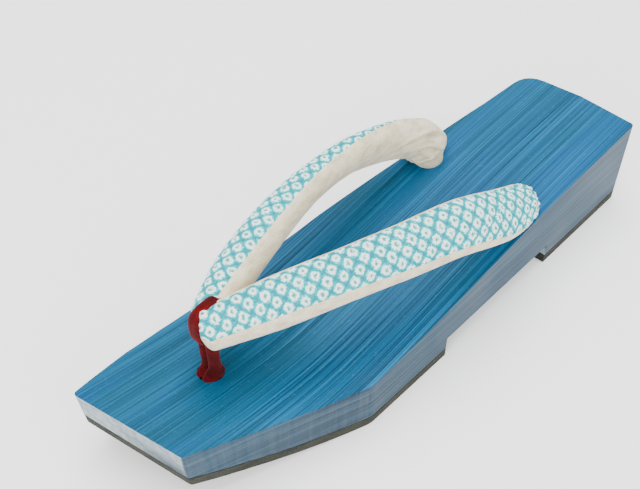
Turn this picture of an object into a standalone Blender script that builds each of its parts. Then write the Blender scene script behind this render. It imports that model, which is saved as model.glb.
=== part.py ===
"""Geta sandal for the left foot: a one-block wooden sole with two rubber
sheets under it, and a padded cloth thong strap held by a velvet toe loop.

Metres, +Z up. +Y points to the toe and +X to the inner (big toe) side.
The origin is on the floor, at the middle of the whole sandal's box.
"""
import math

import bmesh
import bpy
from mathutils import Vector

# Wooden block
LENGTH = 0.250              # back of heel to inner toe corner
BALL_WIDTH = 0.0746         # across the ball of the foot
HEEL_HEIGHT = 0.0421        # floor to foot-bed at the back of the heel
EDGE_ROUND = 0.0020         # round-over along the foot-bed's edge
HEEL_BLOCK = 0.059          # length of the heel's foot on the floor
FOREFOOT_START = 0.128      # back of heel to the back of the forefoot's foot
ARCH_CEILING = 0.0105       # floor to the top of the recess under the arch
SPRING_START = 0.171        # where the underside leaves the floor
TOE_SPRING = 0.0177         # how far the toe's underside is lifted
TOE_SET_BACK = 0.0030       # toe face leans back towards the floor
HEEL_BULGE = 0.0010         # back of the heel is slightly convex
HEEL_INNER_RADIUS = 0.011
HEEL_OUTER_RADIUS = 0.0020
TOE_INNER_RADIUS = 0.0018
TOE_OUTER_RADIUS = 0.0016
BALL_RADIUS = 0.012

# Rubber under the block
RUBBER = 0.0044
CLEARANCE = 0.0003          # between pieces that touch on the real sandal

# Strap
STRAP_WIDTH = 0.0208        # widest flattened width of the padded tube
STRAP_THICKNESS = 0.0156    # thickest padding
ARCH_HEIGHT = 0.0345        # foot-bed to the middle of the strap at its highest
REAR_SPREAD = 0.3592 * BALL_WIDTH       # half the distance between the arms at the holes
STRAP_REACH = 0.1350        # toe post to the rear holes, along the foot
COVER_WALL = 0.0012         # thickness of the patterned cloth
COVER_FROM = 8.0            # upper seam, degrees round the strap's section
COVER_TO = 214.0            # lower seam
HEM_TURN = 4.0              # degrees that the cover's wall stops short of each seam
NOSE_REACH = 0.0036         # how far the fold stands in front of the arms' start
REAR_HOLE_RADIUS = 0.0053
REAR_HOLE_SPREAD = 0.3217 * BALL_WIDTH
PLUG_DEPTH = 0.0130         # how far the strap's ends run down into the holes
MOUTH_RISE = 0.0016         # where the ends are gathered to the holes' size

# Toe loop
POST_ALONG = 0.2080         # back of heel to the toe post
POST_ACROSS = 0.0105        # from the sole's middle line towards the inner side
FRONT_HOLE_RADIUS = 0.0050
FRONT_HOLE_DEPTH = 0.0120
LOOP_BAND = 0.0062          # width of the flattened band
LOOP_THICKNESS = 0.0026
LOOP_REACH = 0.0100         # toe post back to the loop's rear side in the fork
LEG_WIDTH = 0.0042          # each of the two legs of the post
LEG_DEPTH = 0.0050

# Inner side of the outline, from heel to toe
INNER_SIDE = (
    # along / LENGTH, across / BALL_WIDTH
    (0.004, 0.2265),
    (0.120, 0.2640),
    (0.240, 0.3177),
    (0.370, 0.3900),
    (0.500, 0.4570),
    (0.620, 0.5010),
    (0.750, 0.5215),
    (0.830, 0.5200),
    (0.896, 0.5090),
    (1.000, 0.4570),
)

# Outer side of the outline, from the ball's kink back to the heel
OUTER_SIDE = (
    # along / LENGTH, across / BALL_WIDTH
    (0.690, -0.4786),
    (0.500, -0.4960),
    (0.240, -0.5090),
    (0.004, -0.5210),
)
OUTER_TOE = (0.965, -0.153)

# Foot-bed seen from the side
FOOT_BED = (
    # along / LENGTH, height / HEEL_HEIGHT
    (0.000, 1.000),
    (0.208, 0.924),
    (0.416, 0.776),
    (0.584, 0.633),
    (0.712, 0.567),
    (0.840, 0.638),
    (1.000, 0.821),
)

# The two arms of the strap, from the toe post back towards the rear holes
STRAP_ARMS = {
    "outer": (
        # along / STRAP_REACH, spread / REAR_SPREAD, height / ARCH_HEIGHT,
        # width / STRAP_WIDTH, thickness / STRAP_THICKNESS, tilt in degrees
        (0.030, 0.130, 0.790, 0.860, 0.790, 74.0),
        (0.167, 0.410, 0.932, 0.900, 1.000, 58.0),
        (0.333, 0.681, 0.985, 0.915, 0.970, 56.0),
        (0.500, 0.907, 0.935, 0.960, 0.850, 56.0),
        (0.667, 1.032, 0.795, 1.000, 0.790, 54.0),
        (0.833, 1.073, 0.490, 0.980, 0.770, 51.0),
        (0.930, 1.030, 0.320, 0.860, 0.740, 50.0),
        (0.965, 0.985, 0.255, 0.740, 0.710, 50.0),
        (0.985, 0.945, 0.180, 0.610, 0.670, 50.0),
    ),
    "inner": (
        (0.030, 0.100, 0.780, 0.860, 0.790, 62.0),
        (0.167, 0.381, 0.935, 0.900, 1.000, 52.0),
        (0.333, 0.662, 1.009, 0.925, 0.970, 50.0),
        (0.500, 0.884, 0.970, 0.980, 0.850, 55.0),
        (0.667, 0.976, 0.885, 0.980, 0.790, 62.0),
        (0.833, 1.017, 0.640, 0.930, 0.770, 74.0),
        (0.945, 0.990, 0.430, 0.860, 0.740, 78.0),
        (0.985, 0.960, 0.330, 0.740, 0.710, 78.0),
        (1.000, 0.930, 0.210, 0.610, 0.670, 76.0),
    ),
}

# Shares and tilts used while shaping
SIDE_SHARE = 0.45           # most of a side of the outline that one rounded corner takes
LEG_JOIN = 0.3              # share of the band's thickness that the legs reach up into it
LEG_SPREAD = 0.42           # share of a leg's width from the post's middle to the leg's
LEG_SET_BACK = 0.2          # share of a leg's depth that the legs stand behind the post
FLAT_TILT = 0.7             # a face whose normal rises more than this is part of the bed
UPRIGHT_TILT = 0.3          # a face whose normal rises less than this is a side wall
ROUND_PROFILE = 0.5         # circular section of a rounded edge
SAME_PLACE = 0.00001        # corners closer than this are one corner
WELD_REACH = 0.000005       # finer weld after the cuts

# Colours and roughness of the pieces
STAIN_BLUE = (0.02, 0.16, 0.42)
STAIN_ROUGHNESS = 0.42
RUBBER_BLACK = (0.04, 0.045, 0.035)
RUBBER_ROUGHNESS = 0.85
VELVETEEN_CREAM = (0.80, 0.74, 0.60)
CLOTH_TURQUOISE = (0.10, 0.62, 0.68)
VELVET_RED = (0.42, 0.01, 0.02)
CLOTH_ROUGHNESS = 0.92

# Numbers of facets
HOLE_POINTS = 24
BAND_POINTS = 12
ARM_STATIONS = 25
BARE_STATIONS = 3           # rear stations of each arm that the cover leaves bare
COVERED_POINTS = 14
BARE_POINTS = 12
NOSE_STEPS = 3
NOSE_TURN = 84.0            # degrees of the fold's rounded front
CORNER_STEPS = 5
BED_STEPS = 28
ROUND_STEPS = 3
LEG_STEPS = 4
LOOP_STEPS = 24
LOOP_SQUARENESS = 0.72      # 1 gives an oval, less gives squarer corners

# Sole's middle line leans with the foot: across at the rear holes
HEEL_LINE_ACROSS = -0.0061
OVERCUT = 0.010             # how far cutting shapes stand clear of the block
THROUGH = HEEL_HEIGHT       # drill depth that goes right through the block

OUTER = -1
INNER = 1


def clear_scene():
    for obj in list(bpy.data.objects):
        bpy.data.objects.remove(obj, do_unlink=True)


def smooth_between(rows, column, x):
    """Height of a smooth curve through one column of a table at x."""
    xs = [row[0] for row in rows]
    ys = [row[column] for row in rows]
    last = len(xs) - 1
    slopes = []
    for i in range(len(xs)):
        low = max(i - 1, 0)
        high = min(i + 1, last)
        slopes.append((ys[high] - ys[low]) / (xs[high] - xs[low]))
    if x <= xs[0]:
        return ys[0] + slopes[0] * (x - xs[0])
    if x >= xs[last]:
        return ys[last] + slopes[last] * (x - xs[last])
    i = max(k for k in range(last) if xs[k] <= x)
    span = xs[i + 1] - xs[i]
    t = (x - xs[i]) / span
    start = (1 + 2 * t) * (1 - t) ** 2 * ys[i]
    end = t * t * (3 - 2 * t) * ys[i + 1]
    leave = t * (1 - t) ** 2 * span * slopes[i]
    arrive = t * t * (t - 1) * span * slopes[i + 1]
    return start + end + leave + arrive


def bed_height(along):
    """Foot-bed above the floor at a distance from the back of the heel."""
    return HEEL_HEIGHT * smooth_between(FOOT_BED, 1, along / LENGTH)


def spring(along):
    """Lift of the underside, which curves up towards the toe."""
    share = max(0.0, (along - SPRING_START) / (LENGTH - SPRING_START))
    return TOE_SPRING * share * share


def round_corner(before, corner, after, radius):
    """Arc that replaces a sharp corner of an outline."""
    to_before = (before - corner).normalized()
    to_after = (after - corner).normalized()
    half = to_before.angle(to_after) / 2
    reach = radius / math.tan(half)
    reach = min(reach, SIDE_SHARE * (before - corner).length, SIDE_SHARE * (after - corner).length)
    start = corner + to_before * reach
    end = corner + to_after * reach
    points = []
    for i in range(CORNER_STEPS + 1):
        t = i / CORNER_STEPS
        points.append((1 - t) ** 2 * start + 2 * t * (1 - t) * corner + t * t * end)
    return points


def sole_outline(toe_shift):
    """Outline of the sole, anticlockwise from above, as (across, along)."""
    corners = [(Vector((0.5 * (INNER_SIDE[0][1] + OUTER_SIDE[-1][1]) * BALL_WIDTH, -HEEL_BULGE)), 0.0)]
    for along, across in INNER_SIDE:
        radius = 0.0
        if along == INNER_SIDE[0][0]:
            radius = HEEL_INNER_RADIUS
        if along == INNER_SIDE[-1][0]:
            radius = TOE_INNER_RADIUS
        corners.append((Vector((across * BALL_WIDTH, along * LENGTH)), radius))
    corners[-1][0].y -= toe_shift
    outer_toe = Vector((OUTER_TOE[1] * BALL_WIDTH, OUTER_TOE[0] * LENGTH - toe_shift))
    corners.append((outer_toe, TOE_OUTER_RADIUS))
    for along, across in OUTER_SIDE:
        radius = 0.0
        if along == OUTER_SIDE[0][0]:
            radius = BALL_RADIUS
        if along == OUTER_SIDE[-1][0]:
            radius = HEEL_OUTER_RADIUS
        corners.append((Vector((across * BALL_WIDTH, along * LENGTH)), radius))
    points = []
    for i, (corner, radius) in enumerate(corners):
        before = corners[i - 1][0]
        after = corners[(i + 1) % len(corners)][0]
        if radius > 0:
            points += round_corner(before, corner, after, radius)
        else:
            points.append(corner)
    return points


def new_object(name, mesh):
    obj = bpy.data.objects.new(name, mesh)
    bpy.context.scene.collection.objects.link(obj)
    return obj


def loft(name, rings):
    """Closed solid through rings that have the same number of points."""
    bm = bmesh.new()
    rows = [[bm.verts.new(point) for point in ring] for ring in rings]
    count = len(rows[0])
    for low, high in zip(rows, rows[1:]):
        for i in range(count):
            j = (i + 1) % count
            bm.faces.new((low[i], low[j], high[j], high[i]))
    bm.faces.new(list(reversed(rows[0])))
    bm.faces.new(rows[-1])
    bmesh.ops.recalc_face_normals(bm, faces=bm.faces)
    mesh = bpy.data.meshes.new(name)
    bm.to_mesh(mesh)
    bm.free()
    return new_object(name, mesh)


def combine(target, tool, operation):
    """Boolean of two solids, kept in the first, and the second removed."""
    modifier = target.modifiers.new(operation.lower(), "BOOLEAN")
    modifier.operation = operation
    modifier.object = tool
    depsgraph = bpy.context.evaluated_depsgraph_get()
    mesh = bpy.data.meshes.new_from_object(target.evaluated_get(depsgraph))
    target.modifiers.clear()
    target.data = mesh
    bpy.data.objects.remove(tool, do_unlink=True)
    return target


def outline_column(name, low, high):
    """Upright solid over the sole's outline, its toe leaning back below."""
    rings = []
    for height in (low, high):
        lean = TOE_SET_BACK * (1 - height / HEEL_HEIGHT)
        rings.append([Vector((p.x, p.y, height)) for p in sole_outline(lean)])
    return loft(name, rings)


def side_slab(name, profile):
    """Solid as wide as the sandal and more, from a side profile."""
    half = BALL_WIDTH
    rings = []
    for side in (OUTER, INNER):
        rings.append([Vector((side * half, along, height)) for along, height in profile])
    return loft(name, rings)


def underside(start, end, level):
    """Points along the underside from start to end at a level above it."""
    points = [(start, level + spring(start))]
    if end > SPRING_START:
        steps = BED_STEPS // 3
        for i in range(steps + 1):
            along = SPRING_START + (end - SPRING_START) * i / steps
            if along > start:
                points.append((along, level + spring(along)))
    else:
        points.append((end, level))
    return points


def make_body():
    low = RUBBER + CLEARANCE
    profile = [(-OVERCUT, low), (HEEL_BLOCK, low), (HEEL_BLOCK, ARCH_CEILING)]
    profile.append((FOREFOOT_START, ARCH_CEILING))
    profile += underside(FOREFOOT_START, LENGTH + OVERCUT, low)
    for i in range(BED_STEPS + 1):
        along = LENGTH + OVERCUT - (LENGTH + 2 * OVERCUT) * i / BED_STEPS
        profile.append((along, bed_height(along)))
    body = outline_column("body", -OVERCUT, HEEL_HEIGHT + OVERCUT)
    combine(body, side_slab("body_side", profile), "INTERSECT")
    round_top_edge(body)
    drill(body, POST_ACROSS, POST_ALONG, FRONT_HOLE_RADIUS, FRONT_HOLE_DEPTH)
    for side in (OUTER, INNER):
        across, along = rear_hole(side)
        drill(body, across, along, REAR_HOLE_RADIUS, THROUGH)
    return body


def round_top_edge(body):
    """Rounds the edge where the foot-bed meets the sides of the block."""
    bm = bmesh.new()
    bm.from_mesh(body.data)
    bmesh.ops.remove_doubles(bm, verts=bm.verts, dist=SAME_PLACE)
    edges = []
    for edge in bm.edges:
        if len(edge.link_faces) != 2:
            continue
        tilts = sorted(face.normal.z for face in edge.link_faces)
        if tilts[1] > FLAT_TILT and abs(tilts[0]) < UPRIGHT_TILT:
            edges.append(edge)
    bmesh.ops.bevel(
        bm,
        geom=edges,
        offset=EDGE_ROUND,
        offset_type="OFFSET",
        affect="EDGES",
        segments=ROUND_STEPS,
        profile=ROUND_PROFILE,
        material=-1,
        clamp_overlap=True,
    )
    bm.to_mesh(body.data)
    bm.free()


def drill(body, across, along, radius, depth):
    """Upright round hole from the foot-bed down."""
    top = bed_height(along) + OVERCUT
    bottom = bed_height(along) - depth
    middle = Vector((across, along, (top + bottom) / 2))
    bpy.ops.mesh.primitive_cylinder_add(
        vertices=HOLE_POINTS,
        radius=radius,
        depth=top - bottom,
        location=middle,
    )
    combine(body, bpy.context.object, "DIFFERENCE")


def make_rubber(name, start, end):
    profile = underside(start, end, 0.0)
    profile += list(reversed(underside(start, end, RUBBER)))
    rubber = outline_column(name, -OVERCUT, HEEL_HEIGHT)
    combine(rubber, side_slab(name + "_side", profile), "INTERSECT")
    return rubber


def middle_line(along):
    """Across value of the line midway between the arms of the strap."""
    share = (POST_ALONG - along) / STRAP_REACH
    return POST_ACROSS + (HEEL_LINE_ACROSS - POST_ACROSS) * share


def rear_hole(side):
    along = POST_ALONG - STRAP_REACH
    return middle_line(along) + side * REAR_HOLE_SPREAD, along


def arm_knots(side):
    """Rows of place, width, thickness and tilt, ending down in the hole."""
    knots = []
    for row in STRAP_ARMS["outer" if side == OUTER else "inner"]:
        along = POST_ALONG - row[0] * STRAP_REACH
        across = middle_line(along) + side * row[1] * REAR_SPREAD
        height = bed_height(along) + row[2] * ARCH_HEIGHT
        knots.append((across, along, height, row[3] * STRAP_WIDTH, row[4] * STRAP_THICKNESS, row[5]))
    across, along = rear_hole(side)
    neck = 2 * (REAR_HOLE_RADIUS - CLEARANCE)
    for rise in (MOUTH_RISE, -PLUG_DEPTH):
        knots.append((across, along, bed_height(along) + rise, neck, neck, row[5]))
    return knots


def arm_stations(side):
    """Places and sizes of the sections along one arm, from a smooth curve."""
    knots = arm_knots(side)
    rows = [(i, *knot) for i, knot in enumerate(knots)]
    mouth = len(rows) - 2
    stations = []
    for i in range(ARM_STATIONS):
        at = mouth * i / (ARM_STATIONS - 1)
        stations.append([smooth_between(rows, column, at) for column in range(1, len(rows[0]))])
    stations.append(knots[-1])
    return [(Vector(station[:3]), *station[3:]) for station in stations]


def arm_frames(points, side):
    """Sideways and upper directions across the arm at each point."""
    frames = []
    last = len(points) - 1
    away = Vector((side, 0, 0))
    for i in range(len(points)):
        tangent = (points[min(i + 1, last)] - points[max(i - 1, 0)]).normalized()
        sideways = (away - tangent * tangent.dot(away)).normalized()
        upper = side * tangent.cross(sideways)
        frames.append((sideways, upper.normalized()))
    return frames


def strap_ring(station, frame, cover_inset, lip_growth, lip_turn):
    """One section: flattened round, set in under the cover and not elsewhere."""
    point, width, thickness, tilt = station
    sideways, upper = frame
    lean = math.radians(tilt)
    wide = upper * math.sin(lean) - sideways * math.cos(lean)
    thick = upper * math.cos(lean) + sideways * math.sin(lean)
    start = COVER_FROM - lip_turn
    end = COVER_TO + lip_turn
    ring = []
    for i in range(COVERED_POINTS + 1):
        angle = math.radians(start + (end - start) * i / COVERED_POINTS)
        across = (width / 2 - cover_inset) * math.cos(angle)
        out = (thickness / 2 - cover_inset) * math.sin(angle)
        ring.append(point + wide * across + thick * out)
    stepped = cover_inset + lip_growth > 0
    for i in range(0 if stepped else 1, BARE_POINTS + 1 if stepped else BARE_POINTS):
        angle = math.radians(end + (360 + start - end) * i / BARE_POINTS)
        across = (width / 2 + lip_growth) * math.cos(angle)
        out = (thickness / 2 + lip_growth) * math.sin(angle)
        ring.append(point + wide * across + thick * out)
    return ring


def strap_arm(name, side, cover_inset, lip_growth, lip_turn, bare_stations, extra):
    """One arm as a closed solid, from the fold to its rear end or short of it."""
    stations = arm_stations(side)
    frames = arm_frames([station[0] for station in stations], side)
    shape = (cover_inset, lip_growth, lip_turn)
    first = stations[0][0]
    forward = (first - stations[1][0]).normalized()
    front = strap_ring(stations[0], frames[0], *shape)
    rings = []
    for i in range(NOSE_STEPS, 0, -1):
        turn = math.radians(NOSE_TURN) * i / NOSE_STEPS
        middle = first + forward * (NOSE_REACH - cover_inset) * math.sin(turn)
        rings.append([middle + (point - first) * math.cos(turn) for point in front])
    count = len(stations) - bare_stations
    for station, frame in zip(stations[:count], frames[:count]):
        rings.append(strap_ring(station, frame, *shape))
    if extra > 0:
        onward = (stations[count - 1][0] - stations[count - 2][0]).normalized()
        rings.append([point + onward * extra for point in rings[-1]])
    return loft(name, rings)


def make_lining():
    inset = COVER_WALL + CLEARANCE
    turn = math.degrees(CLEARANCE / (STRAP_THICKNESS / 2))
    lining = strap_arm("strap_lining", OUTER, inset, 0.0, turn, 0, 0.0)
    other = strap_arm("lining_inner_arm", INNER, inset, 0.0, turn, 0, 0.0)
    return combine(lining, other, "UNION")


def make_cover():
    cover = strap_arm("strap_cover", OUTER, 0.0, 0.0, 0.0, BARE_STATIONS, 0.0)
    other = strap_arm("cover_inner_arm", INNER, 0.0, 0.0, 0.0, BARE_STATIONS, 0.0)
    combine(cover, other, "UNION")
    filling = strap_arm("filling", OUTER, COVER_WALL, CLEARANCE, -HEM_TURN, BARE_STATIONS, COVER_WALL)
    other = strap_arm("filling_inner_arm", INNER, COVER_WALL, CLEARANCE, -HEM_TURN, BARE_STATIONS, COVER_WALL)
    combine(filling, other, "UNION")
    combine(cover, filling, "DIFFERENCE")
    return cover


def band_ring(point, tangent, flat, width, thickness):
    """Flattened section of the velvet band, flat across the given direction."""
    other = tangent.cross(flat).normalized()
    ring = []
    for i in range(BAND_POINTS):
        angle = 2 * math.pi * i / BAND_POINTS
        across = width / 2 * math.cos(angle)
        out = thickness / 2 * math.sin(angle)
        ring.append(point + flat * across + other * out)
    return ring


def loop_path():
    """Upright rounded path close round the fold of the strap."""
    front = POST_ALONG + CLEARANCE + LOOP_THICKNESS / 2
    back = POST_ALONG - LOOP_REACH
    row = STRAP_ARMS["outer"][0]
    bed = bed_height(POST_ALONG - row[0] * STRAP_REACH)
    half = (row[3] * STRAP_WIDTH + LOOP_THICKNESS) / 2 + CLEARANCE
    centre = Vector((POST_ACROSS, (front + back) / 2, bed + row[2] * ARCH_HEIGHT))
    points = []
    for i in range(LOOP_STEPS):
        angle = 2 * math.pi * i / LOOP_STEPS
        along = math.copysign(abs(math.cos(angle)) ** LOOP_SQUARENESS, math.cos(angle))
        rise = math.copysign(abs(math.sin(angle)) ** LOOP_SQUARENESS, math.sin(angle))
        points.append(centre + Vector((0, along * (front - back) / 2, rise * half)))
    return points


def make_loop_ring(name, growth):
    points = loop_path()
    flat = Vector((1, 0, 0))
    bm = bmesh.new()
    rows = []
    for i, point in enumerate(points):
        tangent = (points[(i + 1) % len(points)] - points[i - 1]).normalized()
        ring = band_ring(point, tangent, flat, LOOP_BAND + 2 * growth, LOOP_THICKNESS + 2 * growth)
        rows.append([bm.verts.new(corner) for corner in ring])
    count = len(rows[0])
    for k in range(len(rows)):
        low = rows[k]
        high = rows[(k + 1) % len(rows)]
        for i in range(count):
            j = (i + 1) % count
            bm.faces.new((low[i], low[j], high[j], high[i]))
    bmesh.ops.recalc_face_normals(bm, faces=bm.faces)
    mesh = bpy.data.meshes.new(name)
    bm.to_mesh(mesh)
    bm.free()
    return new_object(name, mesh)


def make_leg(name, side):
    """One of the two legs that go down side by side into the front hole."""
    bed = bed_height(POST_ALONG)
    top = min(point.z for point in loop_path()) + LEG_JOIN * LOOP_THICKNESS
    bottom = bed - FRONT_HOLE_DEPTH + 2 * CLEARANCE
    across = POST_ACROSS + side * LEG_SPREAD * LEG_WIDTH
    place = Vector((across, POST_ALONG - LEG_SET_BACK * LEG_DEPTH, bottom))
    rings = []
    for i in range(LEG_STEPS + 1):
        point = place + Vector((0, 0, (top - bottom) * i / LEG_STEPS))
        rings.append(band_ring(point, Vector((0, 0, 1)), Vector((1, 0, 0)), LEG_WIDTH, LEG_DEPTH))
    return loft(name, rings)


def make_toe_loop():
    loop = make_loop_ring("toe_loop", 0.0)
    for side in (OUTER, INNER):
        combine(loop, make_leg("leg", side), "UNION")
    return loop


def finish(obj, colour, roughness, collection):
    """Names the piece's material, shades it and files it in the collection."""
    material = bpy.data.materials.new(obj.name + "_material")
    material.use_nodes = True
    shader = material.node_tree.nodes["Principled BSDF"]
    shader.inputs["Base Color"].default_value = (*colour, 1)
    shader.inputs["Roughness"].default_value = roughness
    shader.inputs["Metallic"].default_value = 0.0
    obj.data.materials.clear()
    obj.data.materials.append(material)
    for home in list(obj.users_collection):
        home.objects.unlink(obj)
    collection.objects.link(obj)


def weld(obj):
    bm = bmesh.new()
    bm.from_mesh(obj.data)
    bmesh.ops.remove_doubles(bm, verts=bm.verts, dist=WELD_REACH)
    bm.to_mesh(obj.data)
    bm.free()


def stand_on_origin(parts):
    """Puts the origin on the floor at the middle of the whole box."""
    corners = [vertex.co for obj in parts for vertex in obj.data.vertices]
    low = Vector([min(corner[k] for corner in corners) for k in range(3)])
    high = Vector([max(corner[k] for corner in corners) for k in range(3)])
    shift = Vector((-(low.x + high.x) / 2, -(low.y + high.y) / 2, -low.z))
    for obj in parts:
        for vertex in obj.data.vertices:
            vertex.co += shift


def main():
    clear_scene()
    collection = bpy.data.collections.new("geta_sandal")
    bpy.context.scene.collection.children.link(collection)
    body = make_body()
    forefoot = make_rubber("forefoot_rubber", FOREFOOT_START, LENGTH + OVERCUT)
    heel = make_rubber("heel_rubber", -OVERCUT, HEEL_BLOCK)
    lining = make_lining()
    cover = make_cover()
    for strap in (lining, cover):
        combine(strap, make_loop_ring("loop_channel", CLEARANCE), "DIFFERENCE")
    loop = make_toe_loop()
    parts = [body, forefoot, heel, lining, cover, loop]
    for obj in parts:
        weld(obj)
    stand_on_origin(parts)
    finish(body, STAIN_BLUE, STAIN_ROUGHNESS, collection)
    finish(forefoot, RUBBER_BLACK, RUBBER_ROUGHNESS, collection)
    finish(heel, RUBBER_BLACK, RUBBER_ROUGHNESS, collection)
    finish(lining, VELVETEEN_CREAM, CLOTH_ROUGHNESS, collection)
    finish(cover, CLOTH_TURQUOISE, CLOTH_ROUGHNESS, collection)
    finish(loop, VELVET_RED, CLOTH_ROUGHNESS, collection)


main()
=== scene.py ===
"""Looks of a geta sandal: stained wood, rubber sheets, a padded cloth thong and its velvet loop.

Metres, +Z up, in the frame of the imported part: the toe points to +Y, and +X is the inner side.
"""

import math
from functools import partial

import bmesh
import bpy
import numpy as np
from mathutils import Matrix, Vector, noise


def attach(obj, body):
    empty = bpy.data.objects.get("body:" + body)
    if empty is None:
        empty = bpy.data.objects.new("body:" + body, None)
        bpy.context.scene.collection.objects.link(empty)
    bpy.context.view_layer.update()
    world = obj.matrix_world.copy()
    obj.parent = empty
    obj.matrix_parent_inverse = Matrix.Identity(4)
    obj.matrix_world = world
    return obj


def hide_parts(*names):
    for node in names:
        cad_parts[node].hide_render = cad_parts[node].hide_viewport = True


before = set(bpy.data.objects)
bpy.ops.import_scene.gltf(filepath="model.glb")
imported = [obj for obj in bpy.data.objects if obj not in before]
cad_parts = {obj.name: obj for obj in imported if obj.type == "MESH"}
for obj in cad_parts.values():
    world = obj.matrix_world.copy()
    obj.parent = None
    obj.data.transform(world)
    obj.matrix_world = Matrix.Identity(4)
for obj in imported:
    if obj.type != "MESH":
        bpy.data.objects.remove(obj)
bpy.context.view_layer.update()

# Where the maker's measures start in the part's frame
ACROSS_START = 0.00067
ALONG_START = -0.124074

# Measures shared with the solids, in metres
LENGTH = 0.250
HEEL_HEIGHT = 0.0421
STRAP_WIDTH = 0.0208
STRAP_THICKNESS = 0.0156
ARCH_HEIGHT = 0.0345
REAR_SPREAD = 0.0268
STRAP_REACH = 0.1350
REAR_HOLE_RADIUS = 0.0050
REAR_HOLE_SPREAD = 0.0240
PLUG_DEPTH = 0.0120
MOUTH_RISE = 0.0016
POST_ALONG = 0.2080
POST_ACROSS = 0.0105
HEEL_LINE_ACROSS = -0.0061
NOSE_REACH = 0.0036
NOSE_TURN = math.radians(84)
FRONT_HOLE_DEPTH = 0.0112
LOOP_BAND = 0.0062
LOOP_THICKNESS = 0.0026
LOOP_REACH = 0.0100
LOOP_FORWARD = 0.0023
LOOP_SQUEEZE = 0.0020
LOOP_SQUARENESS = 0.72
LEG_WIDTH = 0.0042
LEG_DEPTH = 0.0050

FOOT_BED = (
    # along / LENGTH, height / HEEL_HEIGHT
    (0.000, 1.000),
    (0.208, 0.924),
    (0.416, 0.776),
    (0.584, 0.633),
    (0.712, 0.567),
    (0.840, 0.638),
    (1.000, 0.821),
)

# Arms of the strap, from the toe post back towards the rear holes
OUTER = -1
INNER = 1
OUTER_ARM = (
    # along / STRAP_REACH, spread / REAR_SPREAD, height / ARCH_HEIGHT, width / STRAP_WIDTH,
    # thickness / STRAP_THICKNESS, then degrees: tilt, upper and lower seam of the cover
    (0.000, 0.105, 0.770, 0.800, 0.790, 74.0, -12.0, 93.0),
    (0.167, 0.410, 0.932, 0.900, 1.000, 58.0, -9.0, 104.0),
    (0.333, 0.681, 0.985, 0.915, 0.970, 56.0, -7.0, 113.0),
    (0.500, 0.907, 0.935, 0.960, 0.850, 56.0, -4.0, 123.0),
    (0.667, 1.032, 0.795, 1.000, 0.790, 54.0, -1.0, 133.0),
    (0.833, 1.073, 0.490, 0.980, 0.770, 51.0, 2.0, 143.0),
    (0.930, 1.030, 0.320, 0.860, 0.740, 50.0, 5.0, 151.0),
    (0.965, 0.985, 0.255, 0.740, 0.710, 50.0, 6.0, 155.0),
    (0.985, 0.945, 0.180, 0.610, 0.670, 50.0, 7.0, 159.0),
)
INNER_ARM = (
    (0.030, 0.100, 0.770, 0.800, 0.790, 62.0, 7.0, 114.0),
    (0.167, 0.381, 0.935, 0.900, 1.000, 52.0, 7.0, 122.0),
    (0.333, 0.662, 1.009, 0.925, 0.970, 50.0, 7.0, 131.0),
    (0.500, 0.884, 0.970, 0.980, 0.850, 55.0, 8.0, 141.0),
    (0.667, 0.976, 0.885, 0.980, 0.790, 62.0, 9.0, 151.0),
    (0.833, 1.017, 0.640, 0.930, 0.770, 74.0, 18.0, 164.0),
    (0.945, 0.990, 0.410, 0.890, 0.800, 78.0, 42.0, 165.0),
    (0.985, 0.965, 0.245, 0.900, 0.930, 78.0, 46.0, 165.0),
    (1.000, 0.950, 0.140, 0.900, 1.040, 76.0, 48.0, 165.0),
)
GATHERED_RADIUS = 0.0064            # bunched cloth that hides the rear hole's rim
HOLE_MARGIN = 0.0020                # an arm's relief fades out over this much before the hole

# Patterned cloth of the strap
COVER_WALL = 0.0010
ALONG_PITCH = 0.0060                # tied rings along the strap
ACROSS_PITCH = 0.0069               # and across it, over two staggered rows
RING_LIFT = 0.00042                 # how far a tied ring stands up
RING_SHAPE = 2.6                    # 2 is a circle; more is squarer
RING_RADIUS = 0.21                  # in cells of the lattice, like the next two
RING_SOFTNESS = 0.13
DIMPLE_RADIUS = 0.07
RING_CREST = 1.15                   # heights as shares of RING_LIFT, like the next two
DIMPLE_DEPTH = 0.35
BETWEEN_RINGS = 0.15
RELIEF_IN_HOLE = 0.3                # share of the relief that is left at the hole
BUNCHED_MORE = 0.7                  # extra cloth round the arm where it is gathered
BUNCHED_FROM = 0.024                # length before the hole where that starts
SEAM_PLAIN = 0.0002                 # relief grows from here to SEAM_CLEAR from a seam
SEAM_CLEAR = 0.0018
SEAM_DIP = 0.00015                  # the cloth dips in to its seams
SEAM_DIP_WIDTH = 0.0010

# Velveteen of the strap
UNDER_COVER = 0.0013                # how far the padding lies below the cover's face
LIP = 0.00022                       # piping-like edge along the seams
LIP_WIDTH = 0.0006
LINING_GATHERS = 0.7                # share of the cover's gathers
LINING_MARK = 0.01                  # length that one unit of the lining's marks stands for
UNEVEN = (
    # depth, noise scale, seed
    (0.00010, 200, 3),
    (0.00004, 1500, 8),
)
CREASES = {
    # start and end before the hole, angle at each, depth, half-width in degrees
    OUTER: (
        (0.004, 0.030, 250.0, 228.0, 0.0008, 7.0),
        (0.002, 0.018, 340.0, 300.0, 0.0007, 8.0),
    ),
    INNER: (
        (0.006, 0.034, 322.0, 262.0, 0.0020, 7.0),
        (0.003, 0.022, 285.0, 244.0, 0.0016, 6.0),
        (0.020, 0.050, 250.0, 228.0, 0.0008, 6.0),
    ),
}
CREASE_RIDGE = 0.5                  # ridge beside a crease, as a share of its depth
CREASE_RIDGE_OFFSET = 1.7           # and how far beside it, in half-widths

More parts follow.
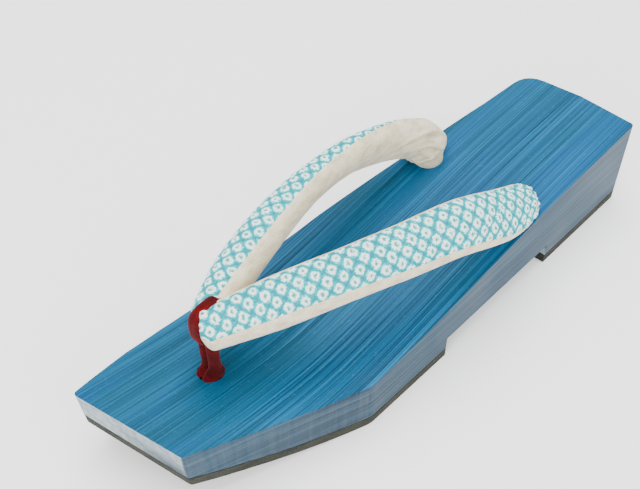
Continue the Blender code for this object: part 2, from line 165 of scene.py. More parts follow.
# Pleats where the strap is squeezed into a rear hole
GATHER_DEPTH = 0.00034
GATHER_FROM = 0.030                 # lengths before the hole
GATHER_FULL = 0.006
GATHER_FADE_FROM = 0.003
GATHER_FADE = 0.5
PLEATS = (
    # pleats round the section, twist per metre, share of the depth, turn in radians
    (9, 40.0, 1.0, 0.0),
    (17, -90.0, 0.6, 1.0),
)

# Velvet loop
BAND_PINCH = 0.16                   # how much narrower the band is at its top
BAND_PINCH_WIDTH = 0.3
BAND_GROOVE = 0.00025               # dip along the middle of the band
BAND_GROOVE_WIDTH = 0.0007
BAND_MARKS = (20, 4)                # units of its marks along and round
LEG_MARKS = (4, 4)
LEG_OVERLAP = 0.0012                # how far a leg reaches up into the band
LEG_SPACING = 0.42                  # centre of a leg from the post's, in leg widths
LEG_SETBACK = 0.2                   # in leg depths
LEG_SWELL = 0.05
LEG_SWELL_TURN = 9
FOOT_HEIGHT = 0.0025                # the legs spread this far above the foot-bed
FOOT_WIDER = 0.24
FOOT_DEEPER = 0.74                  # on top of FOOT_WIDER
FOOT_FORWARD = 0.0012

# Meshes: rows run along a piece and columns round its section
NOSE_ROWS = 8
ARM_ROWS = 330
FACE_COLUMNS = 68
BACK_COLUMNS = 10
LINING_ROWS = 220
BARE_COLUMNS = 48
HIDDEN_COLUMNS = 16
BAND_ROWS = 140
LEG_ROWS = 60
LOOP_COLUMNS = 24
ARM_SAMPLES = 700                   # from the fold to the mouth of the rear hole
PLUG_SAMPLES = 30                   # and from there to the end in the hole
GIRTH_STEPS = 16
SEAM_WELD = 0.0000015
SOLID_WELD = 0.000002
FLAT_ANGLE = math.radians(0.6)      # facets of a solid that are flatter become one face
SHARP_ANGLE = math.radians(32)      # edges of a solid that are sharper stay sharp
ROUNDED_FACING = (0.12, 0.95)       # upward part of the normals on the block's rounded edge, which gets painted shade

# Columns of an arm's samples
PLACE = slice(0, 3)
WIDTH = slice(3, 4)
THICKNESS = slice(4, 5)
TILT = 5
SEAMS = slice(6, 8)

# Paints are as on a chart, 0 to 255, and a ramp gives each its place. Scales are of noise, and
# bumps are in metres. A patch lays its paint over a colour where its noise is high: an edge is
# where it starts and where it is full.

# Stained wood
TOP_STAIN = ((0.34, (0, 38, 62)), (0.44, (0, 68, 102)), (0.53, (0, 86, 128)), (0.66, (4, 116, 162)))
SIDE_STAIN = ((0.38, (6, 30, 46)), (0.50, (18, 54, 76)), (0.62, (48, 84, 104)))
# The toe end face is painted pale grey-green: painted light, as if lit from the toe side
TOE_END_PAINTED_LIGHT = ((0.35, (112, 130, 140)), (0.65, (156, 170, 174)))
TOE_END_SCALE = 420
FINE_GRAIN = 2400                   # scale across the lines
LONG_GRAIN = 40                     # and where the face only slopes
GRAIN_LAYERS = (
    # share of the scale across, scale along the block, noise detail and roughness, weight
    (1.00, 14.0, 1.0, 0.50, 0.38),
    (0.60, 7.0, 2.0, 0.55, 0.48),
    (0.09, 2.4, 2.0, 0.50, 0.14),
)
TEAL_CLOUDS = {
    "scale": (30, 14, 30), "detail": 3, "roughness": 0.6,
    "edge": (0.42, 0.62), "share": 0.45, "over": (0, 72, 90)}
BRIGHT_STREAKS = {
    "scale": (60, 7, 60), "detail": 2, "edge": (0.50, 0.66), "share": 0.35, "over": (0, 84, 142)}
PALE_FLECKS = {
    "scale": (3400, 420, 3400), "detail": 1,
    "edge": (0.68, 0.80), "share": 0.30, "over": (96, 160, 184)}
FACES_TOE = (0.80, 0.95)            # forward part of a normal where the toe end's painted light takes over
TURNS_UP = (0.06, 0.24)             # upward part where the sides give way to the rounded edge and its painted shade
FACES_UP = (0.86, 0.975)            # and the edge to the top
# The rounded top edge is painted darker than the top: painted shade, a darkened copy of the top's
# stain
EDGE_PAINTED_SHADE = (0, 30, 52)
EDGE_SHADE_SHARE = 0.70
RIM_SHARE = 0.85                    # how much of the edge's painted shade its marked faces take
WOOD_ROUGHNESS = (0.50, 0.36)
STREAK_BUMP = 1.6                   # height of a streak over that of a fine line
WOOD_BUMP = 0.00012

# Rubber
RUBBER_SHADES = ((0.35, (26, 28, 22)), (0.65, (46, 48, 37)))
RUBBER_SCALE = (120, 60, 300)
GRIT_SCALE = 1400
DUST_EDGE = (0.60, 0.75)
DUST_SHARE = 0.25
DUST = (110, 110, 96)
RUBBER_ROUGHNESS = (0.92, 0.74)
RUBBER_BUMP = 0.00015

# Tied cloth, with the dye by distance from a ring's middle
RING_DYE = (
    (0.06, (60, 150, 150)),
    (0.12, (126, 196, 190)),
    (0.19, (240, 248, 244)),
    (0.31, (236, 252, 249)),
    (0.38, (30, 206, 206)),
    (0.44, (0, 158, 168)),
    (0.58, (0, 128, 142)),
)
WOBBLE_SCALE = 420.0
WOBBLE = 0.20                       # in cells, like the next two
RAGGED = 0.42
UNEQUAL = 0.07
RAGGED_SCALE = 1500
PALE_THREADS = {
    "scale": (2600, 700, 2600), "detail": 2,
    "edge": (0.56, 0.66), "share": 0.20, "over": (190, 246, 240)}
WEAVE_SCALE = 3200
WEAVE_ROUGHNESS = (0.92, 0.78)
WEAVE_BUMP = 0.00010

# Velveteen and velvet
CREAM_PILE = ((0.36, (190, 176, 144)), (0.50, (222, 211, 180)), (0.64, (238, 229, 204)))
RED_PILE = ((0.36, (34, 0, 2)), (0.50, (72, 0, 5)), (0.64, (102, 4, 9)))
CREAM_SCALE = 2600
RED_SCALE = 2400
BRUSHED_SCALE = (260, 160, 260)
NAP_WEIGHT = 0.45
BRUSHED_WEIGHT = 0.55
PILE_ROUGHNESS = (1.0, 0.88)
PILE_BUMP = 0.00018

# Camera, from a fit of the photograph's perspective
CAMERA_PLACE = Vector((-0.15146, 0.19979, 0.29500))
CAMERA_AIM = Vector((0.45999511, -0.50140824, -0.73279893))
CAMERA_ROLL = math.radians(-0.39)
CAMERA_SENSOR = 36.0
CAMERA_LENS = 51.64
CAMERA_SHIFT = (-0.0086, 0.0257)
CAMERA_CLIP = 0.01

# Floor and light
FLOOR_SIZE = 4.0
FLOOR_GAP = 0.00005                 # keeps the floor from sharing a plane with the rubber
FLOOR_GLOW = 0.30
LIGHT_AIM = (0, 0, 0.02)
SOFTBOXES = (
    # name, place, size, watts
    ("toe_softbox", (-0.35, 0.95, 0.60), 0.7, 9.0),
    ("top_softbox", (0.15, -0.10, 1.30), 1.0, 22.0),
    ("side_fill", (-1.10, -0.10, 0.55), 0.9, 6.0),
)
WORLD_LEVEL = 1.12


# Curves and places

def smooth_between(rows, at):
    """Smooth curve through a table; the first column is the place along it."""
    table = np.array(rows, float)
    places, values = table[:, 0], table[:, 1:]
    last = len(places) - 1
    low = np.maximum(np.arange(last + 1) - 1, 0)
    high = np.minimum(np.arange(last + 1) + 1, last)
    slopes = (values[high] - values[low]) / (places[high] - places[low])[:, None]
    at = np.clip(np.atleast_1d(at), places[0], places[-1])
    i = np.clip(np.searchsorted(places, at, side="right") - 1, 0, last - 1)
    span = (places[i + 1] - places[i])[:, None]
    t = (at - places[i])[:, None] / span
    start = (1 + 2 * t) * (1 - t) ** 2 * values[i]
    end = t * t * (3 - 2 * t) * values[i + 1]
    leave = t * (1 - t) ** 2 * span * slopes[i]
    arrive = t * t * (t - 1) * span * slopes[i + 1]
    return start + end + leave + arrive


def bed_height(along):
    """Foot-bed above the floor at a distance from the back of the heel."""
    return HEEL_HEIGHT * float(smooth_between(FOOT_BED, along / LENGTH)[0, 0])


def middle_line(along):
    """Across value of the line midway between the strap's arms."""
    share = (POST_ALONG - along) / STRAP_REACH
    return POST_ACROSS + (HEEL_LINE_ACROSS - POST_ACROSS) * share


def in_part(across, along, height):
    """The maker's measures as a place in the part's frame."""
    return (across + ACROSS_START, along + ALONG_START, height)


def ease(x, start, end):
    """0 before start, 1 after end, and a smooth step between."""
    t = np.clip((np.asarray(x, float) - start) / (end - start), 0, 1)
    return t * t * (3 - 2 * t)


def hump(x, middle, width):
    """Soft ridge of height 1 round the middle."""
    return np.exp(-(((np.asarray(x, float) - middle) / width) ** 2))


def unit_rows(vectors):
    return vectors / np.linalg.norm(vectors, axis=1)[:, None]


def arm_samples(table, side):
    """Rows of place, width, thickness, tilt and seams, from the fold to the end in the hole."""
    knots = []
    for share, spread, height, width, thickness, *turns in table:
        along = POST_ALONG - share * STRAP_REACH
        across = middle_line(along) + side * spread * REAR_SPREAD
        place = in_part(across, along, bed_height(along) + height * ARCH_HEIGHT)
        knots.append((*place, width * STRAP_WIDTH, thickness * STRAP_THICKNESS, *turns))
    along = POST_ALONG - STRAP_REACH
    across = middle_line(along) + side * REAR_HOLE_SPREAD
    bed = bed_height(along)
    neck = 2 * GATHERED_RADIUS
    *_, tilt, upper, lower = table[-1]
    knots.append((*in_part(across, along, bed + MOUTH_RISE), neck, neck, tilt, upper, lower))
    rows = [(i, *knot) for i, knot in enumerate(knots)]
    samples = smooth_between(rows, np.linspace(0, len(rows) - 1, ARM_SAMPLES))
    plug = samples[-1].copy()
    plug[2] = bed - PLUG_DEPTH
    plug[WIDTH] = plug[THICKNESS] = 2 * REAR_HOLE_RADIUS
    return np.vstack([samples, np.linspace(samples[-1], plug, PLUG_SAMPLES)[1:]])


class Arm:
    """One arm of the strap: its centre, sizes and directions by length from the fold."""

    def __init__(self, table, side):
        samples = arm_samples(table, side)
        steps = np.linalg.norm(np.diff(samples[:, PLACE], axis=0), axis=1)
        self.side = side
        self.samples = samples
        self.at = np.concatenate([[0], np.cumsum(steps)])
        self.length = self.at[-1]
        self.mouth = float(self.at[ARM_SAMPLES - 1])
        self.tangents = unit_rows(np.gradient(samples[:, PLACE], self.at, axis=0))
        away = np.array([side, 0, 0], float)
        sideways = unit_rows(away - self.tangents * (self.tangents @ away)[:, None])
        upper = side * np.cross(self.tangents, sideways)
        lean = np.radians(samples[:, TILT])[:, None]
        self.wide = upper * np.sin(lean) - sideways * np.cos(lean)
        self.thick = upper * np.cos(lean) + sideways * np.sin(lean)

    def read(self, table, length):
        """Rows of a table at lengths from the fold."""
        columns = [np.interp(length, self.at, table[:, k]) for k in range(table.shape[1])]
        return np.stack(columns, axis=1)

    def seams(self, length):
        """Upper and lower seam of the cover round the section, in radians."""
        turns = np.radians(self.read(self.samples[:, SEAMS], length))
        return turns[:, 0], turns[:, 1]

    def girth(self, length, start, angle):
        """Distance round the section from one angle to another."""
        core = self.read(self.samples, length)
        shares = (np.arange(GIRTH_STEPS) + 0.5) / GIRTH_STEPS
        between = start[:, None] + (angle - start)[:, None] * shares
        speed = np.hypot(core[:, WIDTH] / 2 * np.sin(between),
                         core[:, THICKNESS] / 2 * np.cos(between))
        return speed.mean(axis=1) * (angle - start)

    def before_hole(self, length):
        """1 along the arm, fading to 0 at the mouth of its hole."""
        return 1 - ease(length, self.mouth - HOLE_MARGIN, self.mouth)

    def surface(self, length, turn, angle, lift):
        """Points of the padded strap.

        Length runs back from the fold, turn goes round the nose, angle goes round the section,
        and lift stands outwards.
        """
        core = self.read(self.samples, length)
        wide = self.read(self.wide, length)
        thick = self.read(self.thick, length)
        a = core[:, WIDTH] / 2
        b = core[:, THICKNESS] / 2
        c = np.cos(angle)[:, None]
        s = np.sin(angle)[:, None]
        out = unit_rows(wide * (c * b) + thick * (s * a))
        reach = wide * (a * c) + thick * (b * s) + out * lift[:, None]
        nose = np.cos(turn)[:, None]
        forward = -self.read(self.tangents, length) * (NOSE_REACH * np.sin(turn))[:, None]
        return core[:, PLACE] + reach * nose + forward


ARMS = (Arm(OUTER_ARM, OUTER), Arm(INNER_ARM, INNER))


# Meshes from bmesh operators

def new_piece(name, bm, material, nodes):
    """Files a finished mesh as a piece that stands for the named solids."""
    for face in bm.faces:
        face.smooth = True
    mesh = bpy.data.meshes.new(name)
    bm.to_mesh(mesh)
    bm.free()
    piece = bpy.data.objects.new(name, mesh)
    bpy.context.scene.collection.objects.link(piece)
    mesh.materials.append(material)
    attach(piece, "root")
    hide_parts(*nodes)
    return piece


def joined(makers):
    """One mesh from several shells; each maker fills an empty mesh with its own."""
    whole = bmesh.new()
    for make in makers:
        shell = bmesh.new()
        make(shell)
        mesh = bpy.data.meshes.new("shell")
        shell.to_mesh(mesh)
        shell.free()
        whole.from_mesh(mesh)
        bpy.data.meshes.remove(mesh)
    return whole


def sleeve(bm, rows, columns, place, ring=False):
    """Grid wrapped round a section: place gives points and marks for shares along and round.

    The ends are closed, unless the sleeve is a ring whose ends meet.
    """
    uv = bm.loops.layers.uv.verify()
    made = bmesh.ops.create_grid(bm, x_segments=rows, y_segments=columns, size=0.5, calc_uvs=True)
    verts = made["verts"]
    shares = np.array([vert.co[:2] for vert in verts]) + 0.5
    points, marks = place(shares[:, 0], shares[:, 1])
    bm.verts.index_update()
    number = {vert.index: i for i, vert in enumerate(verts)}
    for face in bm.faces:
        for loop in face.loops:
            loop[uv].uv = marks[number[loop.vert.index]]
    for vert, point in zip(verts, points):
        vert.co = point
    bmesh.ops.remove_doubles(bm, verts=verts, dist=SEAM_WELD)
    if not ring:
        rims = [edge for edge in bm.edges if edge.is_boundary]
        bmesh.ops.holes_fill(bm, edges=rims, sides=0)
    bmesh.ops.recalc_face_normals(bm, faces=bm.faces)


# Strap

def ring_marks(length, girth):
    """Lattice of the tied rings: whole numbers are the corners between four rings."""
    along, across = length / ALONG_PITCH, girth / ACROSS_PITCH
    return along + across, along - across


def ring_relief(p, q):
    """Height of the tied rings: a raised ring, a dimple at its middle, dips between."""
    x = np.abs(p - np.floor(p) - 0.5)
    y = np.abs(q - np.floor(q) - 0.5)
    distance = (x ** RING_SHAPE + y ** RING_SHAPE) ** (1 / RING_SHAPE)
    crest = RING_CREST * hump(distance, RING_RADIUS, RING_SOFTNESS)
    return crest - BETWEEN_RINGS - DIMPLE_DEPTH * hump(distance, 0.0, DIMPLE_RADIUS)


def crumple(points, scale, seed):
    """Small smooth noise at each point, the same each run."""
    shift = Vector((seed, 0.3 * seed, -0.7 * seed))
    return np.array([noise.noise(Vector(p) * scale + shift) for p in points])


def rear_gathers(arm, length, angle):
    """Pleats that run into the rear hole, where the strap is squeezed together."""
    grow = ease(length, arm.mouth - GATHER_FROM, arm.mouth - GATHER_FULL)
    fade = 1 - GATHER_FADE * ease(length, arm.mouth - GATHER_FADE_FROM, arm.mouth)
    pleats = sum(share * np.sin(count * angle + twist * length + turn)
                 for count, twist, share, turn in PLEATS)
    return GATHER_DEPTH * grow * fade * pleats


def lining_creases(arm, length, angle):
    """Main folds of the velveteen: a trough along a slanting line, with a ridge beside it."""
    total = np.zeros_like(length)
    before = arm.mouth - length
    degrees = np.degrees(angle) % 360
    for start, end, first, last, depth, width in CREASES[arm.side]:
        share = np.clip((before - start) / (end - start), 0, 1)
        line = first + (last - first) * share
        fade = np.sin(math.pi * share) ** 0.5
        beside = line + CREASE_RIDGE_OFFSET * width
        total += -depth * fade * hump(degrees, line, width)
        total += CREASE_RIDGE * depth * fade * hump(degrees, beside, width)
    return total


def nose_and_length(share, arm_rows, reach):
    """Turn of the rounded nose and length from the fold, at a share of a sleeve's rows."""
    row = share * (NOSE_ROWS + arm_rows)
    turn = NOSE_TURN * np.clip(1 - row / NOSE_ROWS, 0, 1)
    return turn, reach * np.clip((row - NOSE_ROWS) / arm_rows, 0, 1)


def cover_arm(bm, arm):
    """Patterned cloth on one arm: face with its relief, rolled edges, and the back of the cloth."""
    columns = FACE_COLUMNS + BACK_COLUMNS

    def place(s, t):
        turn, length = nose_and_length(s, ARM_ROWS, arm.length - COVER_WALL)
        column = np.round(t * columns) % columns
        face = np.clip(column / FACE_COLUMNS, 0, 1)
        behind = column > FACE_COLUMNS
        back = np.clip((column - FACE_COLUMNS - 1) / (BACK_COLUMNS - 2), 0, 1)
        upper, lower = arm.seams(length)
        angle = upper + (lower - upper) * np.where(behind, 1 - back, face)
        middle = (upper + lower) / 2
        gathered = ease(length, arm.mouth - BUNCHED_FROM, arm.mouth - HOLE_MARGIN)
        girth = arm.girth(length, middle, angle) * (1 + BUNCHED_MORE * gathered)
        p, q = ring_marks(length - NOSE_REACH * turn, girth)
        edge = np.minimum(arm.girth(length, upper, angle), arm.girth(length, angle, lower))
        clear = ease(edge, SEAM_PLAIN, SEAM_CLEAR)
        inside = arm.before_hole(length)
        kept = RELIEF_IN_HOLE + (1 - RELIEF_IN_HOLE) * inside
        lift = RING_LIFT * ring_relief(p, q) * clear * kept
        lift = lift - SEAM_DIP * (1 - ease(edge, 0.0, SEAM_DIP_WIDTH))
        lift = lift + rear_gathers(arm, length, angle) * clear * inside
        lift = np.where(behind, -COVER_WALL, lift)
        return arm.surface(length, turn, angle, lift), np.stack([p, q], axis=1)

    sleeve(bm, NOSE_ROWS + ARM_ROWS, columns, place)


def lining_arm(bm, arm):
    """Velveteen and padding of one arm: bare below, and set in under the cover above."""
    columns = BARE_COLUMNS + HIDDEN_COLUMNS

    def place(s, t):
        turn, length = nose_and_length(s, LINING_ROWS, arm.length)
        column = np.round(t * columns) % columns
        bare = np.clip(column / BARE_COLUMNS, 0, 1)
        hidden = np.clip((column - BARE_COLUMNS) / HIDDEN_COLUMNS, 0, 1)
        upper, lower = arm.seams(length)
        bare_turn = 2 * math.pi + upper - lower
        angle = lower + bare_turn * bare + (lower - upper) * hidden
        edge = np.minimum(arm.girth(length, lower, angle),
                          arm.girth(length, angle, lower + bare_turn))
        inside = arm.before_hole(length)
        lift = LIP * hump(edge, LIP_WIDTH, LIP_WIDTH)
        lift = lift + lining_creases(arm, length, angle) * inside
        lift = lift + LINING_GATHERS * rear_gathers(arm, length, angle) * inside
        lift = np.where(hidden > 0, -UNDER_COVER, lift)
        even = arm.surface(length, turn, angle, lift)
        uneven = sum(depth * crumple(even, scale, seed) for depth, scale, seed in UNEVEN)
        lift = lift + np.where(hidden > 0, 0.0, uneven)
        points = arm.surface(length, turn, angle, lift)
        return points, np.stack([length / LINING_MARK, angle], axis=1)

    sleeve(bm, NOSE_ROWS + LINING_ROWS, columns, place)


# Toe loop

def band_section(share, width, thickness):
    """Oval section of the loop: across and outward, at a share of the way round."""
    angle = 2 * math.pi * share
    return width / 2 * np.cos(angle), thickness / 2 * np.sin(angle)


def loop_centre():
    """Centre of the velvet band round the fold, and its half sizes along and up."""
    share, _, height, width, *_ = OUTER_ARM[0]
    front = POST_ALONG + LOOP_FORWARD + LOOP_THICKNESS / 2
    back = POST_ALONG - LOOP_REACH
    fold = bed_height(POST_ALONG - share * STRAP_REACH) + height * ARCH_HEIGHT
    half_height = (width * STRAP_WIDTH + LOOP_THICKNESS) / 2 - LOOP_SQUEEZE
    centre = Vector(in_part(POST_ACROSS, (front + back) / 2, fold))
    return centre, (front - back) / 2, half_height


def loop_band(bm):
    """Velvet band round the fold of the strap."""
    centre, half_along, half_height = loop_centre()

    def place(s, t):
        angle = 2 * math.pi * s
        c, n = np.cos(angle), np.sin(angle)
        along = np.sign(c) * np.abs(c) ** LOOP_SQUARENESS * half_along
        rise = np.sign(n) * np.abs(n) ** LOOP_SQUARENESS * half_height
        flat, out = band_section(t, LOOP_BAND, LOOP_THICKNESS)
        away = unit_rows(np.stack([along / half_along ** 2, rise / half_height ** 2], axis=1))
        pinch = 1 - BAND_PINCH * hump(np.sin(angle), 1.0, BAND_PINCH_WIDTH)
        out = out - BAND_GROOVE * hump(flat, 0.0, BAND_GROOVE_WIDTH) * np.sign(out)
        points = np.stack([
            centre.x + flat * pinch,
            centre.y + along + away[:, 0] * out,
            centre.z + rise + away[:, 1] * out,
        ], axis=1)
        return points, np.stack([s, t], axis=1) * BAND_MARKS

    sleeve(bm, BAND_ROWS, LOOP_COLUMNS, place, ring=True)


def loop_leg(bm, side):
    """One of the two legs of the loop, side by side down into the front hole."""
    centre, _, half_height = loop_centre()
    top = centre.z - half_height + LEG_OVERLAP
    bottom = bed_height(POST_ALONG) - FRONT_HOLE_DEPTH
    x = centre.x + side * LEG_SPACING * LEG_WIDTH
    y = POST_ALONG - LEG_SETBACK * LEG_DEPTH + ALONG_START

    def place(s, t):
        flat, out = band_section(t, LEG_WIDTH, LEG_DEPTH)
        z = bottom + (top - bottom) * s
        foot = hump(z - bed_height(POST_ALONG), 0.0, FOOT_HEIGHT)
        swell = 1 + LEG_SWELL * np.sin(LEG_SWELL_TURN * s + side) + FOOT_WIDER * foot
        deep = swell + FOOT_DEEPER * foot
        points = np.stack([x + flat * swell, y + FOOT_FORWARD * foot + out * deep, z], axis=1)
        return points, np.stack([s, t], axis=1) * LEG_MARKS

    sleeve(bm, LEG_ROWS, LOOP_COLUMNS, place)


# Shader nodes

def paint(red, green, blue):
    """Linear colour from a paint chart's 0 to 255 values."""
    values = [channel / 255 for channel in (red, green, blue)]
    return (*[v / 12.92 if v <= 0.04045 else ((v + 0.055) / 1.055) ** 2.4 for v in values], 1)


def grey(level):
    return (level, level, level, 1)


def add(tree, kind, inputs=None, **settings):
    """Adds a shader node; an input is a value, or another node's output to link."""
    made = tree.nodes.new("ShaderNode" + kind)
    for key, value in settings.items():
        setattr(made, key, value)
    for key, value in (inputs or {}).items():
        if isinstance(value, bpy.types.NodeSocket):
            tree.links.new(value, made.inputs[key])
        else:
            made.inputs[key].default_value = value
    return made


def calculate(tree, operation, *values):
    return add(tree, "Math", dict(enumerate(values)), operation=operation).outputs[0]


def calculate_vector(tree, operation, *values):
    return add(tree, "VectorMath", dict(enumerate(values)), operation=operation).outputs[0]


def scaled(tree, value, share):
    return calculate(tree, "MULTIPLY", value, share)


def ramp(tree, factor, *stops):
    """Value or colour that changes between stops of place and linear colour."""
    made = add(tree, "ValToRGB", {0: factor})
    elements = made.color_ramp.elements
    while len(elements) > 1:
        elements.remove(elements[-1])
    elements[0].position, elements[0].color = stops[0]
    for place, colour in stops[1:]:
        elements.new(place).color = colour
    return made.outputs[0]


def paint_ramp(tree, factor, stops):
    return ramp(tree, factor, *((place, paint(*colour)) for place, colour in stops))


def mask(tree, factor, edge):
    """0 where the factor is under the edge's start, 1 where it is over its end."""
    start, full = edge
    return ramp(tree, factor, (start, grey(0)), (full, grey(1)))


def rough_range(tree, factor, levels):
    """Roughness that goes from one level to the other over the middle of a noise."""
    first, last = levels
    return ramp(tree, factor, (0.3, grey(first)), (0.7, grey(last)))


def blend_colours(tree, factor, first, second):
    inputs = {0: factor, 6: first, 7: second}
    return add(tree, "Mix", inputs, data_type="RGBA", blend_type="MIX").outputs[2]


def tinted(tree, colour, where, share, over):
    """Colour with a share of a paint laid over it where a mask says."""
    return blend_colours(tree, scaled(tree, where, share), colour, paint(*over))


def grain(tree, space, scale, detail, roughness=0.5):
    """Noise stretched by its scale along each axis of a coordinate."""
    stretched = add(tree, "Mapping", {"Vector": space, "Scale": scale}).outputs[0]
    inputs = {"Vector": stretched, "Scale": 1.0, "Detail": detail, "Roughness": roughness}
    return add(tree, "TexNoise", inputs).outputs[0]


def even_grain(tree, space, scale, detail):
    return grain(tree, space, (scale, scale, scale), detail=detail)


def patched(tree, colour, place, scale, edge, share, over, detail, roughness=0.5):
    """Colour with patches of paint where a noise of its own is high."""
    where = mask(tree, grain(tree, place, scale, detail, roughness), edge)
    return tinted(tree, colour, where, share, over)


def new_material(name, **sockets):
    """Material with its node tree and shader; sockets are set by name, with _ for a space."""
    material = bpy.data.materials.new(name)
    material.use_nodes = True
    tree = material.node_tree
    shader = tree.nodes["Principled BSDF"]
    for key, value in sockets.items():
        shader.inputs[key.replace("_", " ")].default_value = value
    return material, tree, shader


def finish_material(tree, shader, colour, roughness, height, distance):
    """Links the colour, the roughness and a bump of the height to the shader."""
    tree.links.new(colour, shader.inputs["Base Color"])
    tree.links.new(roughness, shader.inputs["Roughness"])
    bump = add(tree, "Bump", {"Height": height, "Distance": distance, "Strength": 1.0})
    tree.links.new(bump.outputs[0], shader.inputs["Normal"])


# Materials

def grain_lines(tree, place, across, up):
    """Layers of lines along the block, and their sum; across and up set how fine they are."""
    layers = []
    total = None
    for share, along, detail, roughness, weight in GRAIN_LAYERS:
        layer = grain(tree, place, (share * across, along, share * up), detail, roughness)
        part = scaled(tree, layer, weight)
        total = part if total is None else calculate(tree, "ADD", total, part)
        layers.append(layer)
    return layers, total


def stained_wood():
    """Blue stain under a thin satin varnish; open grain runs heel to toe."""
    material, tree, shader = new_material(
        "stained_wood", Coat_Weight=0.03, Coat_Roughness=0.34, Specular_IOR_Level=0.16)
    place = add(tree, "TexCoord").outputs["Object"]
    (fine, streak, _), top_lines = grain_lines(tree, place, FINE_GRAIN, LONG_GRAIN)
    _, side_lines = grain_lines(tree, place, LONG_GRAIN, FINE_GRAIN)

    top = paint_ramp(tree, top_lines, TOP_STAIN)
    top = patched(tree, top, place, **TEAL_CLOUDS)
    top = patched(tree, top, place, **BRIGHT_STREAKS)
    # painted shade: the rounded edge takes the top's colour darkened
    rounded = blend_colours(tree, EDGE_SHADE_SHARE, top, paint(*EDGE_PAINTED_SHADE))
    side = paint_ramp(tree, side_lines, SIDE_STAIN)
    # painted light: the toe end face gets a pale colour of its own
    end = paint_ramp(tree, even_grain(tree, place, TOE_END_SCALE, 3), TOE_END_PAINTED_LIGHT)

    normal = add(tree, "NewGeometry").outputs["Normal"]
    facing = add(tree, "SeparateXYZ", {0: normal})
    rim = add(tree, "Attribute", attribute_name="rounded_edge").outputs["Fac"]
    # faces that point to the toe take the painted light of the end
    colour = blend_colours(tree, mask(tree, facing.outputs[1], FACES_TOE), side, end)
    colour = blend_colours(tree, mask(tree, facing.outputs[2], TURNS_UP), colour, rounded)
    colour = blend_colours(tree, mask(tree, facing.outputs[2], FACES_UP), colour, top)
    # more painted shade on the faces marked as the rounded edge
    colour = blend_colours(tree, scaled(tree, rim, RIM_SHARE), colour, rounded)
    colour = patched(tree, colour, place, **PALE_FLECKS)

    roughness = rough_range(tree, streak, WOOD_ROUGHNESS)
    height = calculate(tree, "ADD", fine, scaled(tree, streak, STREAK_BUMP))
    finish_material(tree, shader, colour, roughness, height, WOOD_BUMP)
    return material


def sole_rubber():
    """Dark olive sheet rubber with a fine moulded grit."""
    material, tree, shader = new_material("sole_rubber", Specular_IOR_Level=0.35)
    place = add(tree, "TexCoord").outputs["Object"]
    grit = even_grain(tree, place, GRIT_SCALE, 3)
    colour = paint_ramp(tree, grain(tree, place, RUBBER_SCALE, detail=3), RUBBER_SHADES)
    colour = tinted(tree, colour, mask(tree, grit, DUST_EDGE), DUST_SHARE, DUST)
    roughness = rough_range(tree, grit, RUBBER_ROUGHNESS)
    finish_material(tree, shader, colour, roughness, grit, RUBBER_BUMP)
    return material


def wobbled_marks(tree, place):
    """The cloth's marks, pushed about a little, as hand-tied rings are."""
    inputs = {"Vector": place, "Scale": WOBBLE_SCALE, "Detail": 1.0}
    wobble = add(tree, "TexNoise", inputs).outputs[1]
    wobble = calculate_vector(tree, "SUBTRACT", wobble, (0.5, 0.5, 0.5))
    wobble = add(tree, "VectorMath", {0: wobble, "Scale": WOBBLE}, operation="SCALE").outputs[0]
    return calculate_vector(tree, "ADD", add(tree, "UVMap").outputs[0], wobble)


def ring_distance(tree, marks):
    """Distance from the middle of the ring that a mark is in."""
    part = calculate_vector(tree, "FRACTION", marks)
    part = calculate_vector(tree, "SUBTRACT", part, (0.5, 0.5, 0.5))
    part = add(tree, "SeparateXYZ", {0: calculate_vector(tree, "ABSOLUTE", part)})
    x = calculate(tree, "POWER", part.outputs[0], RING_SHAPE)
    y = calculate(tree, "POWER", part.outputs[1], RING_SHAPE)
    return calculate(tree, "POWER", calculate(tree, "ADD", x, y), 1 / RING_SHAPE)


def tied_cloth():
    """Tie-dyed cloth: white rings with a small dyed middle on a lattice of teal."""
    material, tree, shader = new_material(
        "tied_cloth", Sheen_Weight=0.03, Sheen_Roughness=0.5, Specular_IOR_Level=0.1)
    place = add(tree, "TexCoord").outputs["Object"]
    marks = wobbled_marks(tree, place)
    cell = calculate_vector(tree, "FLOOR", marks)
    each = add(tree, "TexWhiteNoise", {"Vector": cell}, noise_dimensions="3D").outputs[0]
    frayed = even_grain(tree, place, RAGGED_SCALE, 2)
    distance = ring_distance(tree, marks)
    for noise_value, share in ((frayed, RAGGED), (each, UNEQUAL)):
        shift = scaled(tree, calculate(tree, "SUBTRACT", noise_value, 0.5), share)
        distance = calculate(tree, "ADD", distance, shift)
    colour = paint_ramp(tree, distance, RING_DYE)
    colour = patched(tree, colour, place, **PALE_THREADS)
    weave = even_grain(tree, place, WEAVE_SCALE, 2)
    roughness = rough_range(tree, weave, WEAVE_ROUGHNESS)
    finish_material(tree, shader, colour, roughness, weave, WEAVE_BUMP)
    return material


def pile_cloth(name, shades, scale, sheen, sheen_tint):
    """Short-pile cloth, for the cream velveteen and the red velvet."""
    material, tree, shader = new_material(
        name, Sheen_Weight=sheen, Sheen_Roughness=0.45, Sheen_Tint=sheen_tint,
        Specular_IOR_Level=0.15)
    place = add(tree, "TexCoord").outputs["Object"]
    nap = even_grain(tree, place, scale, 3)
    brushed = grain(tree, place, BRUSHED_SCALE, detail=4, roughness=0.6)
    mixed = calculate(
        tree, "ADD", scaled(tree, nap, NAP_WEIGHT), scaled(tree, brushed, BRUSHED_WEIGHT))
    colour = paint_ramp(tree, mixed, shades)
    roughness = rough_range(tree, nap, PILE_ROUGHNESS)
    finish_material(tree, shader, colour, roughness, nap, PILE_BUMP)
    return material


WOOD = stained_wood()
RUBBER = sole_rubber()
PRINT = tied_cloth()
VELVETEEN = pile_cloth("cream_velveteen", CREAM_PILE, CREAM_SCALE, 0.35, (1.0, 0.97, 0.90, 1))
VELVET = pile_cloth("red_velvet", RED_PILE, RED_SCALE, 0.18, (1.0, 0.30, 0.28, 1))


# Pieces

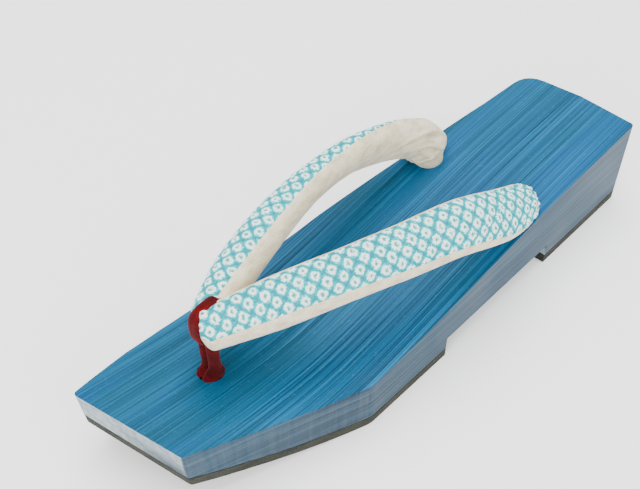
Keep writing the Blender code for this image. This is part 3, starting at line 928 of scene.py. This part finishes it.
def dressed_copy(node, name, material):
    """Copy of a CAD solid, merged, with its flat facets shaded as one smooth surface."""
    bm = bmesh.new()
    bm.from_mesh(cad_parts[node].data)
    bmesh.ops.remove_doubles(bm, verts=bm.verts, dist=SOLID_WELD)
    bmesh.ops.dissolve_limit(bm, angle_limit=FLAT_ANGLE, verts=bm.verts, edges=bm.edges)
    bm.normal_update()
    # marks the faces of the rounded edge, which the wood paints with painted shade
    rim = bm.faces.layers.float.new("rounded_edge")
    low, high = ROUNDED_FACING
    for face in bm.faces:
        face[rim] = 1.0 if low < face.normal.z < high else 0.0
    piece = new_piece(name, bm, material, [node])
    piece.data.set_sharp_from_angle(angle=SHARP_ANGLE)
    shading = piece.modifiers.new("even_shading", "WEIGHTED_NORMAL")
    shading.keep_sharp = True


def strap_piece(name, make_arm, material, node):
    """Both arms of one cloth of the strap."""
    bm = joined(partial(make_arm, arm=arm) for arm in ARMS)
    return new_piece(name, bm, material, [node])


def toe_loop():
    """Velvet band with its two legs."""
    bm = joined([loop_band, partial(loop_leg, side=OUTER), partial(loop_leg, side=INNER)])
    return new_piece("velvet_toe_loop", bm, VELVET, ["toe_loop"])


dressed_copy("body", "wooden_sole", WOOD)
dressed_copy("forefoot_rubber", "forefoot_sheet", RUBBER)
dressed_copy("heel_rubber", "heel_sheet", RUBBER)
cover = strap_piece("tied_cloth_cover", cover_arm, PRINT, "strap_cover")
lining = strap_piece("velveteen_lining", lining_arm, VELVETEEN, "strap_lining")
loop = toe_loop()


# Stage

def make_floor():
    """Pale floor that glows a little, so that it stays near white."""
    bm = bmesh.new()
    below = Matrix.Translation((0, 0, -FLOOR_GAP))
    bmesh.ops.create_grid(bm, x_segments=1, y_segments=1, size=FLOOR_SIZE, matrix=below)
    mesh = bpy.data.meshes.new("pale_floor")
    bm.to_mesh(mesh)
    bm.free()
    floor = bpy.data.objects.new("pale_floor", mesh)
    bpy.context.scene.collection.objects.link(floor)
    material, _, _ = new_material(
        "pale_floor", Roughness=0.9, Base_Color=grey(0.98), Emission_Color=grey(1.0),
        Emission_Strength=FLOOR_GLOW)
    mesh.materials.append(material)


def soft_light(name, place, size, power):
    """Square area light aimed at the sandal."""
    data = bpy.data.lights.new(name, "AREA")
    data.shape = "SQUARE"
    data.size = size
    data.energy = power
    light = bpy.data.objects.new(name, data)
    light.location = place
    light.rotation_mode = "QUATERNION"
    light.rotation_quaternion = (Vector(LIGHT_AIM) - Vector(place)).to_track_quat("-Z", "Y")
    bpy.context.scene.collection.objects.link(light)


def make_world():
    """Even white light from all round."""
    world = bpy.data.worlds.new("studio")
    bpy.context.scene.world = world
    world.use_nodes = True
    back = world.node_tree.nodes["Background"]
    back.inputs[0].default_value = grey(1)
    back.inputs[1].default_value = WORLD_LEVEL


def make_camera():
    """Camera that sees the sandal as the photograph does."""
    data = bpy.data.cameras.new("photo_view")
    data.sensor_width = CAMERA_SENSOR
    data.sensor_fit = "HORIZONTAL"
    data.lens = CAMERA_LENS
    data.shift_x, data.shift_y = CAMERA_SHIFT
    data.clip_start = CAMERA_CLIP
    camera = bpy.data.objects.new("photo_view", data)
    aimed = CAMERA_AIM.to_track_quat("-Z", "Y").to_matrix()
    turn = aimed @ Matrix.Rotation(CAMERA_ROLL, 3, "Z")
    camera.matrix_world = Matrix.Translation(CAMERA_PLACE) @ turn.to_4x4()
    bpy.context.scene.collection.objects.link(camera)
    bpy.context.scene.camera = camera


make_floor()
for softbox in SOFTBOXES:
    soft_light(*softbox)
make_world()
make_camera()
